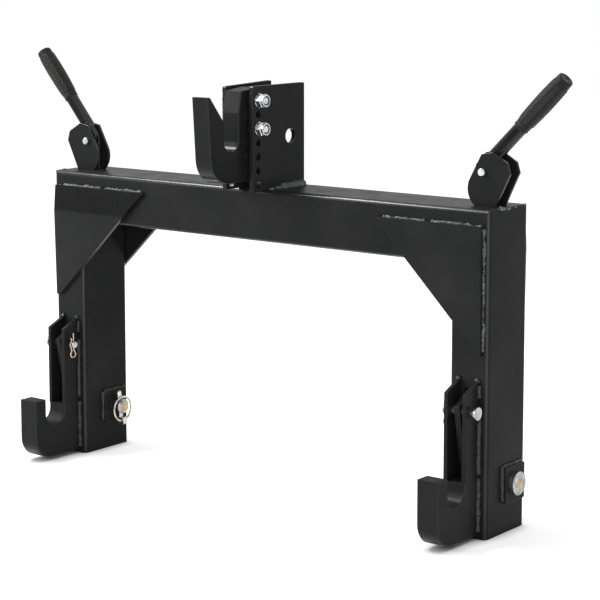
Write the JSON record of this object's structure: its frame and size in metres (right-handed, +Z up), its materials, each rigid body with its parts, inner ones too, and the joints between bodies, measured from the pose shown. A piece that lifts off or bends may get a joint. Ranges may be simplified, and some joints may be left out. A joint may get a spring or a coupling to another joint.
{
  "type": "three point quick hitch",
  "caption": "Black welded arch of square tube with two lower hooks, hand-lever latches and an adjustable top hook, for coupling implements to a compact tractor.",
  "frame": {"origin": "on the floor under the middle of the whole part's box, in millimetre part coordinates scaled to metres", "axes": "+X to the right seen from the hooks, along the cross tube; -Y towards the hooks and the implement, +Y towards the tractor; +Z up"},
  "size_m": [0.897, 0.2038, 0.585],
  "materials": {
    "black_paint": "satin black powder coat",
    "zinc_plate": "bright zinc plate",
    "grip_rubber": "ribbed soft grip"
  },
  "bodies": {
    "frame": {"cross_tube": "black_paint", "top_hook": "black_paint", "hook_bolts": "zinc_plate", "hook_nuts": "zinc_plate", "hook_washers": "zinc_plate", "hook_spacers": "black_paint", "left_leg": "black_paint", "left_front_gusset": "black_paint", "left_rear_gusset": "black_paint", "left_lower_hook": "black_paint", "left_inner_latch_plate": "black_paint", "left_outer_latch_plate": "black_paint", "left_latch_pin": "zinc_plate", "left_latch_clip": "zinc_plate", "left_inner_pin_plate": "black_paint", "left_outer_pin_plate": "black_paint", "left_lower_link_pin": "zinc_plate", "left_linchpin": "zinc_plate", "left_bracket_plate": "black_paint", "left_front_handle_plate": "black_paint", "left_rear_handle_plate": "black_paint", "left_handle_pin": "zinc_plate", "right_leg": "black_paint", "right_front_gusset": "black_paint", "right_rear_gusset": "black_paint", "right_lower_hook": "black_paint", "right_inner_latch_plate": "black_paint", "right_outer_latch_plate": "black_paint", "right_latch_pin": "zinc_plate", "right_latch_clip": "zinc_plate", "right_inner_pin_plate": "black_paint", "right_outer_pin_plate": "black_paint", "right_lower_link_pin": "zinc_plate", "right_linchpin": "zinc_plate", "right_bracket_plate": "black_paint", "right_front_handle_plate": "black_paint", "right_rear_handle_plate": "black_paint", "right_handle_pin": "zinc_plate"},
    "left_handle": {"left_lever": "black_paint", "left_grip": "grip_rubber"},
    "left_rod": {"left_pull_rod": "black_paint"},
    "left_catch": {"left_latch": "black_paint"},
    "left_ring": {"left_linchpin_ring": "zinc_plate"},
    "right_handle": {"right_lever": "black_paint", "right_grip": "grip_rubber"},
    "right_rod": {"right_pull_rod": "black_paint"},
    "right_catch": {"right_latch": "black_paint"},
    "right_ring": {"right_linchpin_ring": "zinc_plate"}
  },
  "joints": [
    {"name": "left_handle_turn", "type": "hinge", "parent": "frame", "child": "left_handle", "pos_m": [-0.342, 0.04785, 0.452], "axis": [0, 1, 0], "range_deg": [0, 75.5]},
    {"name": "left_rod_swing", "type": "hinge", "parent": "left_handle", "child": "left_rod", "pos_m": [-0.33345, 0.05055, 0.4581], "axis": [0, 1, 0], "range_deg": [-75.5, 0]},
    {"name": "left_latch_turn", "type": "hinge", "parent": "frame", "child": "left_catch", "pos_m": [-0.349, -0.01315, 0.1626], "axis": [-1, 0, 0], "range_deg": [0, 30.2]},
    {"name": "left_ring_swing", "type": "hinge", "parent": "frame", "child": "left_ring", "pos_m": [-0.3032, 0.06325, 0.04033], "axis": [0, 0.9962, 0.0872], "range_deg": [0, 170]},
    {"name": "right_handle_turn", "type": "hinge", "parent": "frame", "child": "right_handle", "pos_m": [0.333, 0.04785, 0.452], "axis": [0, -1, 0], "range_deg": [0, 80]},
    {"name": "right_rod_swing", "type": "hinge", "parent": "right_handle", "child": "right_rod", "pos_m": [0.32496, 0.05055, 0.45875], "axis": [0, -1, 0], "range_deg": [-80, 0]},
    {"name": "right_latch_turn", "type": "hinge", "parent": "frame", "child": "right_catch", "pos_m": [0.336, -0.01315, 0.1626], "axis": [-1, 0, 0], "range_deg": [0, 32]},
    {"name": "right_ring_swing", "type": "hinge", "parent": "frame", "child": "right_ring", "pos_m": [0.2902, 0.06325, 0.04033], "axis": [0, -0.9962, -0.0872], "range_deg": [0, 170]}
  ],
  "couplings": [
    {"joint": "left_rod_swing", "follows": "left_handle_turn", "ratio": -1},
    {"joint": "left_latch_turn", "follows": "left_handle_turn", "ratio": 0.4},
    {"joint": "right_rod_swing", "follows": "right_handle_turn", "ratio": -1},
    {"joint": "right_latch_turn", "follows": "right_handle_turn", "ratio": 0.4}
  ]
}
